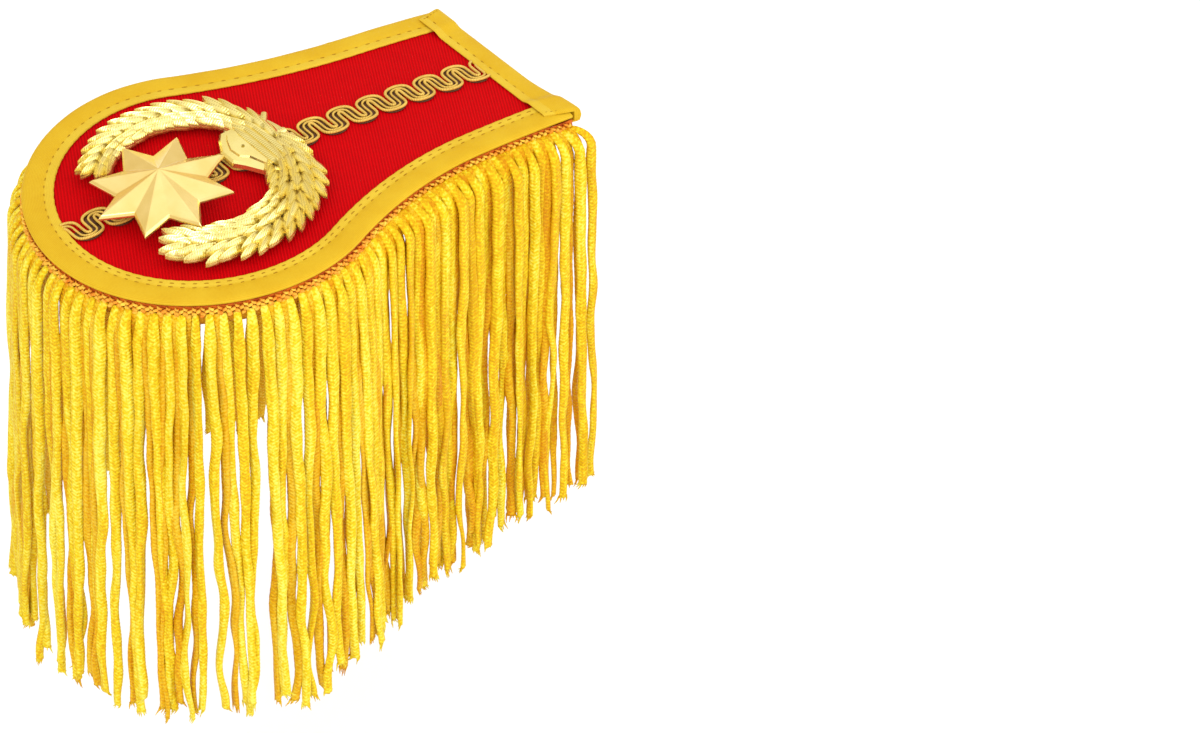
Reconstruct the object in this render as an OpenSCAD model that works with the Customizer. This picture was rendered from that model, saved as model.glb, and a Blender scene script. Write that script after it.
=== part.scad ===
// Bullion epaulette: a keyhole-shaped shoulder board with bound edges, a cast
// wreath and star, a scroll braid and a long hanging fringe.
// Lengths in mm, +X towards the square end, +Y across, +Z up.
// The origin is the middle of the round end, on the underside of the board.

/* [Board] */
// Diameter of the round end, over the binding
disc_d = 100; // [90:1:112]
// Length from the middle of the round end to the square end, over the binding
neck_l = 107.5; // [98:0.5:125]
// Width of the square end, over the binding
end_w = 63; // [56:0.5:68]
// Slope of each straight side, wider towards the round end, in degrees
side_slope = 2.7; // [1:0.1:4]
// Radius of the hollow curve between each side and the round end
fillet_r = 149; // [110:1:170]
// Thickness of the cloth-covered board
board_t = 1.6; // [1.4:0.1:2.4]
// Radius of the board's lengthwise arch
arch_r = 625; // [450:5:900]
// Place of the arch's highest line along the board
ridge_x = -14; // [-30:1:10]

/* [Binding] */
// Width of the binding tape that shows on top
tape_w = 9; // [7:0.5:11]
// Thickness of the folded binding tape
tape_t = 0.7; // [0.6:0.1:1]
// Width of the binding tape on the underside
lap_w = 7; // [5:0.5:9]

/* [Fringe] */
// Hanging length of the fringe
fringe_l = 147; // [90:1:170]
// Shortening of the fringe towards the square end
end_short = 8; // [0:1:12]
// Spacing of the fringe locks along the edge
lock_pitch = 4.1; // [3.8:0.1:5]
// Width of a lock at its head
lock_w = 3.4; // [2.4:0.1:3.6]
// Thickness of a lock
lock_t = 2.6; // [1.8:0.1:3.2]
// How far the locks belly out past the edge
belly = 6; // [4:0.1:8]
// Unevenness of the lock ends, as a share of their length
ragged = 0.025; // [0:0.005:0.05]
// Height of the heading band that carries the fringe
heading_h = 5; // [4:0.5:9]
// Thickness of the heading band
heading_t = 2; // [1.4:0.1:2.6]

/* [Braid] */
// Width of the scroll braid over its scallops
braid_w = 10; // [8:0.5:12]
// Thickness of the scroll braid
braid_t = 1.2; // [1:0.1:1.6]
// Length of one full scallop of the braid
braid_pitch = 9.5; // [8:0.5:12]

/* [Wreath] */
// Distance from the round end to the wreath's centre
wreath_in = 45.5; // [42:0.5:50]
// Radius of the middle row of leaves
wreath_r = 30; // [28:0.5:32]
// Inward curl of each branch at its tip
tip_in = 3; // [0:0.5:5]
// Width of the cast backing under the leaves
wreath_w = 9; // [7:0.5:11]
// Thickness of the cast backing
wreath_t = 1.1; // [0.8:0.1:1.5]
// Angle from the knot to the tip of each branch, in degrees
branch_sweep = 134; // [120:1:145]
// Length of an outer leaf
leaf_l = 9.5; // [7:0.5:11]
// Width of an outer leaf
leaf_w = 4.6; // [3.4:0.1:5.4]
// Height of a leaf's midrib
leaf_h = 1.7; // [1.2:0.1:2.2]
// Leaves in each row of a branch
leaves = 13; // [9:1:15]
// Reach of the knot from its boss to either end
knot_l = 11.5; // [8:0.5:13]

/* [Star] */
// Distance from the round end to the star's centre
star_in = 36.5; // [33:0.5:42]
// Diameter over the star's points
star_d = 41; // [34:0.5:46]
// Radius of the valleys between points, as a share of the point radius
valley = 0.63; // [0.5:0.01:0.75]
// Number of points
points = 8; // [5:1:10]
// Rise of the apex over the points
apex_h = 6; // [5:0.5:10]
// Thickness of the star's rim
rim_t = 1.5; // [0.8:0.1:2]
// Clearance of the star over the leaves
star_lift = 1.4; // [1.2:0.1:2.5]
// Tilt of the star, its square-end side up, in degrees
star_tilt = 4; // [0:0.5:5]
// Turn of the star about its apex, in degrees
star_turn = 0; // [0:1:45]
// Diameter of the star's hidden posts
post_d = 3; // [2:0.1:4]

/* [Pin] */
// Place of the pin bar's middle along the board
pin_x = 45; // [30:1:60]
// Length of the pin bar
pin_l = 46; // [30:1:60]
// Width of the pin bar's plate
pin_w = 7; // [5:0.5:9]
// Thickness of the pin bar's plate
pin_t = 1; // [0.8:0.1:1.5]
// Diameter of the pin
pin_d = 1.6; // [1.2:0.1:2.5]
// Distance of the pin below the plate
pin_drop = 3; // [2:0.1:4]

/* [Fit] */
// Clearance between neighbouring pieces
gap = 0.15; // [0.1:0.01:0.2]

/* [Hidden] */
$fn = 96;
disc_r = disc_d / 2;
half_end = end_w / 2;
arch_z = -sqrt(pow(arch_r, 2) - pow(ridge_x, 2));
// Levels through the board's thickness
top_z = board_t;
side_top = board_t + gap + tape_t;
side_bottom = -gap - tape_t;
end_top = side_top + gap + tape_t;
end_bottom = side_bottom - gap - tape_t;
// Length of board and side tape inside the square end's tape
board_end = neck_l - 2 * (tape_t + gap);
side_end = neck_l - tape_t - gap;
past_end = neck_l + tape_w;
// Hollow curve: its centre, and the straight side's length up to it
slope_n = [sin(side_slope), cos(side_slope)];
slope_d = [-cos(side_slope), sin(side_slope)];
fillet_0 = [neck_l, half_end] + fillet_r * slope_n;
along_0 = fillet_0 * slope_d;
straight_l = -along_0 - sqrt(pow(along_0, 2) - fillet_0 * fillet_0 + pow(disc_r + fillet_r, 2));
fillet_c = fillet_0 + straight_l * slope_d;
fillet_a = atan2(fillet_c[1], fillet_c[0]);
fillet_sweep = 90 - side_slope - fillet_a;
// The hollow curve cuts this far into what it meets, so that the arcs cross cleanly
crossing = 0.01;
// Lengths along the outline from a square corner to the middle of the round end
fillet_l = fillet_r * fillet_sweep * PI / 180;
arc_l = disc_r * (180 - fillet_a) * PI / 180;
half_l = straight_l + fillet_l + arc_l;
// Fringe
lock_count = round(2 * half_l / lock_pitch);
lock_step = 2 * half_l / lock_count;
end_x = neck_l - tape_w - lock_w;
heading_in = 0.3;
lock_in = -heading_in + gap + lock_t / 2;
pad_h = 0.4;
head_h = 2.5;
// Columns of a lock: share of its length, share of the belly, share of its width
LOCK = [[0.14, 1.0, 0.92], [1.0, 0.95, 0.75]];
// Crest levels over the cloth
wreath_z = braid_t + 2 * gap;
leaf_z = wreath_z + wreath_t;
star_z = leaf_z + leaf_h + star_lift;
wreath_x = wreath_in - disc_r;
star_x = star_in - disc_r;
foot_d = 2.4;
post_y = braid_w / 2 + post_d / 2 + 1;
star_r = star_d / 2;

// Height of the arched underside over the origin
function arch(x) = arch_z + sqrt(pow(arch_r, 2) - pow(x - ridge_x, 2));

// Drop of the arch at a distance along it from where a flat piece touches
function sag(distance) = arch_r - sqrt(pow(arch_r, 2) - pow(distance, 2));

// Slope of the arch at x, in degrees
function tilt(x) = asin((x - ridge_x) / arch_r);

// Place and outward direction on the +Y half of the outline, s from the square corner
function half_edge(s) =
    s < straight_l
        ? let (p = [neck_l, half_end] + s * slope_d) [p[0], p[1], 90 - side_slope]
    : s < straight_l + fillet_l
        ? let (a = -90 - side_slope - (s - straight_l) / fillet_r * 180 / PI)
          [fillet_c[0] + fillet_r * cos(a), fillet_c[1] + fillet_r * sin(a), a + 180]
    : let (a = fillet_a + (s - straight_l - fillet_l) / disc_r * 180 / PI)
      [disc_r * cos(a), disc_r * sin(a), a];

// The same on the whole outline, from the -Y corner round to the +Y corner
function edge(s) =
    s < half_l
        ? let (e = half_edge(s)) [e[0], -e[1], -e[2]]
    : half_edge(2 * half_l - s);

// Half width of the straight sides at x, drawn in by inset
function side_y(x, inset) =
    half_end - inset * slope_n[1] + (neck_l - inset * slope_n[0] - x) * tan(side_slope);

// Keyhole outline drawn in by inset and cut off at end_x
module outline(inset, end_x) {
    tangent = fillet_c - (fillet_r + inset) * slope_n;
    meet = fillet_c * (disc_r - inset) / (disc_r + fillet_r);
    corner = [end_x, side_y(end_x, inset)];
    difference() {
        union() {
            circle(r = disc_r - inset);
            polygon([corner, tangent, meet,
                     [meet[0], -meet[1]], [tangent[0], -tangent[1]], [corner[0], -corner[1]]]);
        }
        for (side = [-1, 1])
            translate([fillet_c[0], side * fillet_c[1]])
                circle(r = fillet_r + inset + crossing);
    }
}

// A flat shape made into a layer of the arched board, from level low to level high
module layer(low, high) {
    intersection() {
        translate([0, 0, -90])
            linear_extrude(height = 130)
                children();
        translate([ridge_x, 0, arch_z])
            rotate([90, 0, 0])
                difference() {
                    cylinder(h = 2 * disc_d, r = arch_r + high, center = true);
                    cylinder(h = 2 * disc_d + 10, r = arch_r + low, center = true);
                }
    }
}

// Puts a flat-made piece on the cloth at x, square to the arch
module on_cloth(x) {
    translate([x, 0, arch(x) + top_z * cos(tilt(x))])
        rotate([0, tilt(x), 0])
            children();
}

// The strip of the board at its square end, length deep
module end_strip(length) {
    translate([neck_l - length, -disc_r])
        square([length + tape_w, disc_d]);
}

// Stiff board covered in cloth
module cloth_board() {
    color("crimson")
        layer(0, top_z)
            outline(tape_t + gap, board_end);
}

// Folded tape round the sides and the round end, open where it takes the board
module side_binding() {
    color("gold")
        difference() {
            layer(side_bottom, side_top)
                outline(0, side_end);
            layer(-gap, top_z + gap)
                outline(tape_t, past_end);
            layer(top_z, side_top + 1)
                outline(tape_w, past_end);
            layer(side_bottom - 1, 0)
                outline(lap_w, past_end);
        }
}

// Folded tape across the square end, over the ends of the side tape
module end_binding() {
    color("gold")
        difference() {
            layer(end_bottom, end_top)
                intersection() {
                    outline(0, neck_l);
                    end_strip(tape_w);
                }
            layer(-gap, top_z + gap)
                translate([0, -disc_r])
                    square([board_end + gap, disc_d]);
            layer(side_bottom - gap, side_top + gap)
                difference() {
                    outline(-tape_t, side_end + gap);
                    outline(tape_w + gap, past_end);
                }
            layer(end_bottom - 1, -gap / 2)
                translate([0, -disc_r])
                    square([neck_l - lap_w, disc_d]);
        }
}

// Woven heading band under the edge, down both sides and round the round end
module fringe_heading() {
    color("darkorange")
        difference() {
            layer(side_bottom - gap - heading_h, side_bottom - gap)
                difference() {
                    outline(heading_in, neck_l - gap);
                    outline(heading_in + heading_t, past_end);
                }
            layer(end_bottom - gap, side_bottom)
                end_strip(tape_w + gap);
        }
}

// Level of a lock's head at x, under the tape and clear of it where the board slopes
function head_level(x) =
    arch(x) + (x > end_x ? end_bottom : side_bottom) - 2 * gap
    - 0.55 * lock_step * abs(sin(tilt(x)));

// Slice of the fringe at s along the outline, out from the edge and down from its head
module slice(s, out, down, width, tall) {
    e = edge(s);
    translate([e[0] + out * cos(e[2]), e[1] + out * sin(e[2]), head_level(e[0]) - down])
        rotate([0, 0, e[2]])
            cube([lock_t, width, tall], center = true);
}

// One hanging lock, bellied outwards, its head just wide enough to join the next one
module lock(i) {
    s = (i + 0.5) * lock_step;
    length = fringe_l * (1 + ragged * sin(i * 137)) - end_short * max(0, edge(s)[0]) / neck_l;
    hull() {
        slice(s, lock_in, head_h / 2, lock_step * 1.06, head_h);
        for (row = LOCK)
            slice(s, lock_in + row[1] * belly, row[0] * length, row[2] * lock_w, pad_h);
    }
}

module fringe() {
    color("gold")
        union() {
            for (i = [0 : lock_count - 1])
                lock(i);
        }
}

// Scroll braid along the middle of the cloth
module centre_braid() {
    scallop_r = braid_w * 0.34;
    first_x = -disc_r + tape_w;
    run_l = neck_l - tape_w - first_x;
    scallops = ceil(run_l / braid_pitch * 2);
    color("goldenrod")
        layer(top_z + gap, top_z + gap + braid_t)
            intersection() {
                outline(tape_w + gap, neck_l - tape_w - gap);
                union() {
                    for (i = [0 : scallops])
                        translate([first_x + i * braid_pitch / 2,
                                   (i % 2 == 0 ? 1 : -1) * (braid_w / 2 - scallop_r)])
                            circle(r = scallop_r);
                }
            }
}

// One cast leaf with a midrib, pointing along +X
module leaf(length, width, height) {
    hull() {
        cylinder(h = height * 0.5, r1 = width * 0.16, r2 = 0, $fn = 4);
        translate([length * 0.42, 0, 0])
            cylinder(h = height, r1 = width / 2, r2 = 0, $fn = 4);
        translate([length, 0, height * 0.25])
            cylinder(h = height * 0.25, r1 = width * 0.06, r2 = 0, $fn = 3);
    }
}

// Radius of a branch's middle row at share t of its sweep
function branch_r(t) = wreath_r - tip_in * pow(t, 2);

// One branch of three leaf rows on a curved backing, side 1 or -1
module branch(side) {
    // Columns of a row: radial share of the backing, turn outwards, share of the leaf
    rows = [[-0.22, -32, 0.8], [0.22, 36, 1.0], [0, 3, 0.85]];
    step = (branch_sweep - 14) / leaves;
    mirror([0, side < 0 ? 1 : 0, 0]) {
        for (i = [0 : leaves - 1])
            for (row = rows) {
                a = 12 + (i + 0.5) * step + row[0] * 8;
                // The branch narrows to its tip
                share = 1 - 0.35 * pow(i / leaves, 2);
                rotate([0, 0, a])
                    translate([branch_r(i / leaves) + row[0] * wreath_w * share, 0,
                               leaf_z - wreath_t / 2])
                        rotate([0, 0, 90 - row[1]])
                            rotate([0, -7, 0])
                                leaf(leaf_l * row[2] * share, leaf_w * row[2], leaf_h);
            }
        // Backing in short runs
        for (i = [0 : leaves - 1])
            hull()
                for (j = [i, i + 1])
                    rotate([0, 0, 8 + j * step])
                        translate([branch_r(j / leaves), 0, wreath_z + wreath_t / 2])
                            cube([wreath_w * (1 - 0.5 * pow(j / leaves, 2)), 0.4, wreath_t],
                                 center = true);
        // Foot that stands on the cloth
        rotate([0, 0, branch_sweep * 0.55])
            translate([branch_r(0.55), 0, gap])
                cylinder(h = wreath_z + wreath_t / 2 - gap, d = foot_d, $fn = 16);
    }
}

// Ribbon knot where the branches meet, with its boss and stem ends
module knot() {
    base_t = wreath_t + 1;
    translate([wreath_r - wreath_w, 0, wreath_z]) {
        for (side = [-1, 1])
            hull() {
                translate([-6.5, side, 0])
                    cylinder(h = base_t, r = 1, $fn = 6);
                translate([-2, side * (knot_l - 1), 0])
                    cylinder(h = base_t - 0.4, r = 1, $fn = 6);
                translate([6.5, side * (knot_l - 3), 0])
                    cylinder(h = base_t - 0.2, r = 1, $fn = 6);
                translate([6.5, 0, 0])
                    cylinder(h = base_t + 0.4, r = 1.5, $fn = 6);
            }
        cylinder(h = base_t + 1, r = 1.4, $fn = 16);
        for (side = [-1, 1])
            rotate([0, 0, side * 24])
                translate([6, 0, wreath_t])
                    rotate([0, 90, 0])
                        cylinder(h = 8.5, r1 = 1.1, r2 = 0.8, $fn = 8);
    }
}

module wreath() {
    color("khaki")
        on_cloth(wreath_x)
            union() {
                for (side = [-1, 1])
                    branch(side);
                knot();
            }
}

// Pointed star with ridges to its apex, on two hidden posts
module star() {
    n = 2 * points;
    rim = [for (i = [0 : n - 1])
        let (a = star_turn + i * 180 / points, r = i % 2 == 0 ? star_r : star_r * valley)
        [r * cos(a), r * sin(a)]];
    verts = concat([for (p = rim) [p[0], p[1], 0]],
                   [for (p = rim) [p[0], p[1], rim_t]],
                   [[0, 0, 0], [0, 0, rim_t + apex_h]]);
    faces = concat([for (i = [0 : n - 1]) [2 * n, i, (i + 1) % n]],
                   [for (i = [0 : n - 1]) [i, n + i, (i + 1) % n]],
                   [for (i = [0 : n - 1]) [n + i, n + (i + 1) % n, (i + 1) % n]],
                   [for (i = [0 : n - 1]) [2 * n + 1, n + (i + 1) % n, n + i]]);
    color("palegoldenrod")
        on_cloth(star_x)
            union() {
                translate([0, 0, star_z])
                    rotate([0, -star_tilt, 0])
                        polyhedron(points = verts, faces = faces);
                for (side = [-1, 1])
                    translate([0, side * post_y, gap])
                        cylinder(h = star_z + rim_t - gap, d = post_d);
            }
}

// Plain pin bar under the board
module pin_bar() {
    reach = pin_l / 2 - pin_w / 3;
    pin_level = -gap - pin_t - pin_drop;
    foot_low = pin_level - 0.7 * pin_d;
    color("silver")
        union() {
            layer(-gap - pin_t, -gap)
                translate([pin_x - pin_l / 2, -pin_w / 2])
                    square([pin_l, pin_w]);
            translate([pin_x, 0, arch(pin_x)])
                rotate([0, tilt(pin_x), 0]) {
                    for (side = [-1, 1])
                        translate([side * reach - pin_w / 4, -pin_w / 4, foot_low])
                            cube([pin_w / 2, pin_w / 2, -gap - pin_t / 2 - foot_low - sag(reach)]);
                    translate([0, 0, pin_level])
                        rotate([0, 90, 0])
                            cylinder(h = 2 * reach, d = pin_d, center = true);
                }
        }
}

cloth_board();
side_binding();
end_binding();
fringe_heading();
fringe();
centre_braid();
wreath();
star();
pin_bar();
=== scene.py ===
import math
import random

import bpy
import numpy as np
from bpy.props import FloatProperty, FloatVectorProperty, IntProperty, PointerProperty
from mathutils import Matrix, Vector


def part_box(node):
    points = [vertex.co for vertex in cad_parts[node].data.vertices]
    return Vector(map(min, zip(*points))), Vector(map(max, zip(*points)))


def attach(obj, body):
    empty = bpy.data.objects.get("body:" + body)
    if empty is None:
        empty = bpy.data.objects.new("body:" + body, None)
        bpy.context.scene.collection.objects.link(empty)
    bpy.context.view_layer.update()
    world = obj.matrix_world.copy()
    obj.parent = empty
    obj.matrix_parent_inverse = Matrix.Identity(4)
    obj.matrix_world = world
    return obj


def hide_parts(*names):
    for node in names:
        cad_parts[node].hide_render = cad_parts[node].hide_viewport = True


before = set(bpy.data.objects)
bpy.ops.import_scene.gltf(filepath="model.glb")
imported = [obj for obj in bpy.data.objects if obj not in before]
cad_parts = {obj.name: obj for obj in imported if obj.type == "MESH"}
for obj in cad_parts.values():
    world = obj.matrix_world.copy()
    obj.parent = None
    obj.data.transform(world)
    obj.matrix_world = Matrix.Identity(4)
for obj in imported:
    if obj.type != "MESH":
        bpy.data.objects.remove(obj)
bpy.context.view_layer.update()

bl_info = {
    "name": "Bullion epaulette",
    "version": (1, 0, 0),
    "blender": (4, 5, 0),
    "location": "View3D > Sidebar > Epaulette",
    "description": "Dresses a fringed shoulder board with cloth, tape, cords and a cast crest",
    "category": "Add Mesh",
}

MM = 0.001


# ---- Properties

def metres(name, description, default):
    return FloatProperty(name=name, description=description, default=default, unit="LENGTH")


def degrees(name, description, default):
    return FloatProperty(name=name, description=description, default=math.radians(default),
                         subtype="ANGLE")


def ratio(name, description, default):
    return FloatProperty(name=name, description=description, default=default, subtype="FACTOR")


def number(name, description, default):
    return FloatProperty(name=name, description=description, default=default)


def count(name, description, default):
    return IntProperty(name=name, description=description, default=default)


def paint(name, description, default):
    return FloatVectorProperty(name=name, description=description, default=default, size=3,
                               subtype="COLOR")


class BoardSizes(bpy.types.PropertyGroup):
    """Sizes of the board, as in the solids."""
    disc_radius: metres("Disc radius", "Radius of the round end over the tape", 0.050)
    neck_length: metres(
        "Neck length", "From the middle of the round end to the square end", 0.1075)
    end_width: metres("End width", "Width of the square end", 0.063)
    side_slope: degrees("Side slope", "Slope of the straight sides", 2.7)
    fillet_radius: metres("Hollow radius", "Radius of the hollow curve beside the neck", 0.149)
    thickness: metres("Thickness", "Thickness of the cloth-covered board", 0.0016)
    arch_radius: metres("Arch radius", "Radius of the lengthwise arch", 0.625)
    ridge_x: metres("Ridge place", "Highest line of the arch along the board", -0.014)
    rib_pitch: metres("Rib pitch", "Spacing of the twill ribs", 0.00086)
    cloth_color: paint("Cloth colour", "Colour of the cloth", (0.52, 0.0, 0.002))


class TapeSizes(bpy.types.PropertyGroup):
    """Sizes of the binding tape."""
    width: metres("Width", "Width that shows on top", 0.009)
    thickness: metres("Thickness", "Thickness of the folded tape", 0.0007)
    underlap: metres("Underlap", "Width on the underside", 0.007)
    gap: metres("Gap", "Clearance between layers", 0.00015)
    stitch_pitch: metres("Stitch pitch", "Spacing of the stitches", 0.0037)
    stitch_inset: metres("Stitch inset", "Distance of the stitches from the inner fold", 0.0027)
    second_row: metres(
        "Second row", "Inset of the second row of stitches beside the near side", 0.0014)
    corner_flare: metres(
        "Corner flare", "How far the end tape stands out at the near corner", 0.0024)
    color: paint("Tape colour", "Colour of the satin tape", (0.665, 0.415, 0.011))


class FringeSizes(bpy.types.PropertyGroup):
    """Sizes of the fringe and its heading."""
    length: metres("Length", "Hanging length of the cords", 0.147)
    end_short: metres("End shortening", "How much shorter the cords are at the square end", 0.010)
    front_long: metres(
        "Front lengthening", "How much longer the cords are round the near front", 0.0035)
    pitch: metres("Pitch", "Spacing of the cords", 0.00375)
    cord_width: metres("Cord width", "Width of a flat cord", 0.0038)
    cord_thickness: metres("Cord thickness", "Thickness of a flat cord", 0.00135)
    belly: metres("Belly", "How far the cords stand out past the edge", 0.0034)
    splay: metres("Splay", "How much further out the cords hang at their ends", 0.0047)
    lean: degrees("Lean", "Sideways lean of the whole fringe", 2.0)
    sway: metres("Sway", "Sideways wander of the cord ends", 0.0030)
    ragged: ratio("Raggedness", "Unevenness of the ends as a share of the length", 0.025)
    stitch: metres("Knit stitch", "Length of a knitted stitch of a cord", 0.00125)
    heading_height: metres("Heading height", "Height of the heading band", 0.005)
    heading_thickness: metres("Heading thickness", "Thickness of the heading band", 0.002)
    heading_inset: metres("Heading inset", "Heading's distance inside the tape's edge", 0.0003)
    seed: count("Seed", "Seed of the cords' wander", 11)
    cord_color: paint("Cord colour", "Colour of the cords", (0.82, 0.605, 0.009))
    heading_color: paint("Heading colour", "Colour of the heading", (0.80, 0.25, 0.01))


class BraidSizes(bpy.types.PropertyGroup):
    """Sizes of the scroll braid."""
    width: metres("Width", "Width over the scallops", 0.010)
    pitch: metres("Scallop pitch", "Length of a scallop", 0.0101)
    drift: metres("Drift", "How far the braid runs off the middle at the round end", 0.0060)
    cord_radius: metres("Cord radius", "Radius of one fine cord", 0.00037)
    cord_gap: metres("Cord spacing", "Spacing of the fine cords", 0.00168)
    cords: count("Cords", "Fine cords side by side", 3)
    color: paint("Braid colour", "Colour of the braid", (0.80, 0.46, 0.06))


class CrestSizes(bpy.types.PropertyGroup):
    """Sizes of the wreath and the star."""
    wreath_x: metres("Wreath place", "Wreath's centre along the board", -0.0039)
    wreath_radius: metres("Wreath radius", "Radius of the middle of a branch", 0.0297)
    backing_width: metres("Backing width", "Width of the cast backing", 0.0100)
    tip_in: metres("Tip curl", "Inward curl of a branch at its tip", 0.003)
    backing_thickness: metres("Backing thickness", "Thickness of the cast backing", 0.0011)
    sweep: degrees("Branch sweep", "Angle from the knot to a branch's tip", 130.5)
    leaf_length: metres("Leaf length", "Length of an outer leaf", 0.0094)
    leaf_width: metres("Leaf width", "Width of an outer leaf", 0.0039)
    leaf_height: metres("Leaf height", "Height of a leaf's midrib", 0.0021)
    leaves: count("Leaves", "Leaves in a row of a branch", 17)
    star_x: metres("Star place", "Star's centre along the board", -0.0135)
    star_level: metres("Star level", "Height of the star's underside over the cloth", 0.0057)
    star_tilt: degrees("Star tilt", "Tilt of the star, its square-end side up", 4)
    star_turn: degrees("Star turn", "Turn of the star about its apex", -3.7)
    star_radius: metres("Star radius", "Radius to the points", 0.0205)
    valley: ratio("Valley", "Valley radius as a share of the point radius", 0.63)
    points: count("Points", "Points of the star", 8)
    apex: metres("Apex", "Rise of the apex over the points", 0.006)
    rim: metres("Rim", "Thickness of the star's rim", 0.0015)
    color: paint("Metal colour", "Colour of the polished metal", (0.93, 0.71, 0.26))


class StageLook(bpy.types.PropertyGroup):
    """Camera and floor."""
    elevation: degrees("Elevation", "Camera's angle over the board", 42.2)
    azimuth: degrees("Azimuth", "Camera's turn about the upright axis", -39.79)
    focal: number("Focal length", "Focal length in photograph pixels", 4800)
    scale: number("Scale", "Photograph pixels for each metre at the round end", 3618)
    origin_u: number("Origin column", "Photograph column of the round end's middle", 202.5)
    origin_v: number("Origin row", "Photograph row of the round end's middle", 184.2)
    fit_height: metres("Fit height", "Height over the origin that the camera is set by", 0.0019)
    top_light: number("Top light", "Brightness of the studio overhead", 1.23)
    low_light: number("Low light", "Brightness of the studio low down and behind", 0.84)
    floor_drop: metres("Floor drop", "Floor's distance below the fringe", 0.10)


# ---- Board shape

class Board:
    """Keyhole outline on an arched board, walked from the -Y corner round to the +Y corner."""

    def __init__(self, sizes):
        self.r = sizes.disc_radius
        self.end = sizes.neck_length
        self.half_end = sizes.end_width / 2
        self.slope = sizes.side_slope
        self.fillet = sizes.fillet_radius
        self.thickness = sizes.thickness
        self.arch = sizes.arch_radius
        self.ridge = sizes.ridge_x
        self.n = Vector((math.sin(self.slope), math.cos(self.slope)))
        self.d = Vector((-math.cos(self.slope), math.sin(self.slope)))
        start = Vector((self.end, self.half_end)) + self.fillet * self.n
        along = start.dot(self.d)
        reach = self.r + self.fillet
        self.straight = -along - math.sqrt(along ** 2 - start.length_squared + reach ** 2)
        self.centre = start + self.straight * self.d
        self.meet_angle = math.atan2(self.centre.y, self.centre.x)
        self.sweep = math.pi / 2 - self.slope - self.meet_angle
        self.half = (self.straight + self.fillet * self.sweep
                     + self.r * (math.pi - self.meet_angle))
        self.arch_z = -math.sqrt(self.arch ** 2 - self.ridge ** 2)

    def half_edge(self, s):
        if s < self.straight:
            p = Vector((self.end, self.half_end)) + s * self.d
            return p.x, p.y, math.pi / 2 - self.slope
        s -= self.straight
        if s < self.fillet * self.sweep:
            a = -math.pi / 2 - self.slope - s / self.fillet
            return (self.centre.x + self.fillet * math.cos(a),
                    self.centre.y + self.fillet * math.sin(a), a + math.pi)
        a = self.meet_angle + (s - self.fillet * self.sweep) / self.r
        return self.r * math.cos(a), self.r * math.sin(a), a

    def edge(self, s):
        """Point and outward direction at length s from the -Y corner."""
        if s < self.half:
            x, y, a = self.half_edge(s)
            return x, -y, -a
        return self.half_edge(2 * self.half - s)

    def level(self, x, height):
        """Height at x of the layer that lies height over the board's underside."""
        return self.arch_z + math.sqrt((self.arch + height) ** 2 - (x - self.ridge) ** 2)

    def tilt(self, x):
        return math.asin((x - self.ridge) / self.arch)

    def point(self, x, y, height):
        """Point of the layer that lies height over the board's underside."""
        return Vector((x, y, self.level(x, height)))

    def on_edge(self, s, inset, height):
        """Point of a layer, drawn in by inset from the outline at length s."""
        x, y, a = self.edge(s)
        return self.point(x - inset * math.cos(a), y - inset * math.sin(a), height)

    def half_width(self, x, inset):
        """Half of the board's width at x, drawn in by inset."""
        meet = self.centre.x * (self.r - inset) / (self.r + self.fillet)
        tangent = self.centre.x - (self.fillet + inset) * self.n.x
        if x < meet:
            return math.sqrt(max((self.r - inset) ** 2 - x ** 2, 0.0))
        if x < tangent:
            return self.centre.y - math.sqrt((self.fillet + inset) ** 2 - (x - self.centre.x) ** 2)
        return (self.half_end - inset * self.n.y
                + (self.end - inset * self.n.x - x) * math.tan(self.slope))

    def seat(self, x):
        """Matrix that puts a flat-made piece on the cloth at x, square to the arch."""
        tilt = self.tilt(x)
        under = self.level(x, 0)
        lift = self.thickness * math.cos(tilt)
        return Matrix.Translation((x, 0, under + lift)) @ Matrix.Rotation(tilt, 4, "Y")


def board_shape():
    return Board(bpy.context.scene.epaulette_board)


# ---- Mesh tools

def add_mesh(name, verts, faces, material, uvs=None, smooth=True):
    """Makes an object from verts and faces, with one UV for each vertex."""
    mesh = bpy.data.meshes.new(name)
    mesh.from_pydata([tuple(v) for v in verts], [], faces)
    if uvs is not None:
        layer = mesh.uv_layers.new(name="weave")
        index = np.empty(len(mesh.loops), dtype=np.int32)
        mesh.loops.foreach_get("vertex_index", index)
        layer.data.foreach_set("uv", np.asarray(uvs, dtype=np.float32)[index].ravel())
    mesh.polygons.foreach_set("use_smooth", [smooth] * len(mesh.polygons))
    mesh.materials.append(material)
    mesh.update()
    obj = bpy.data.objects.new(name, mesh)
    bpy.context.scene.collection.objects.link(obj)
    return obj


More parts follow.
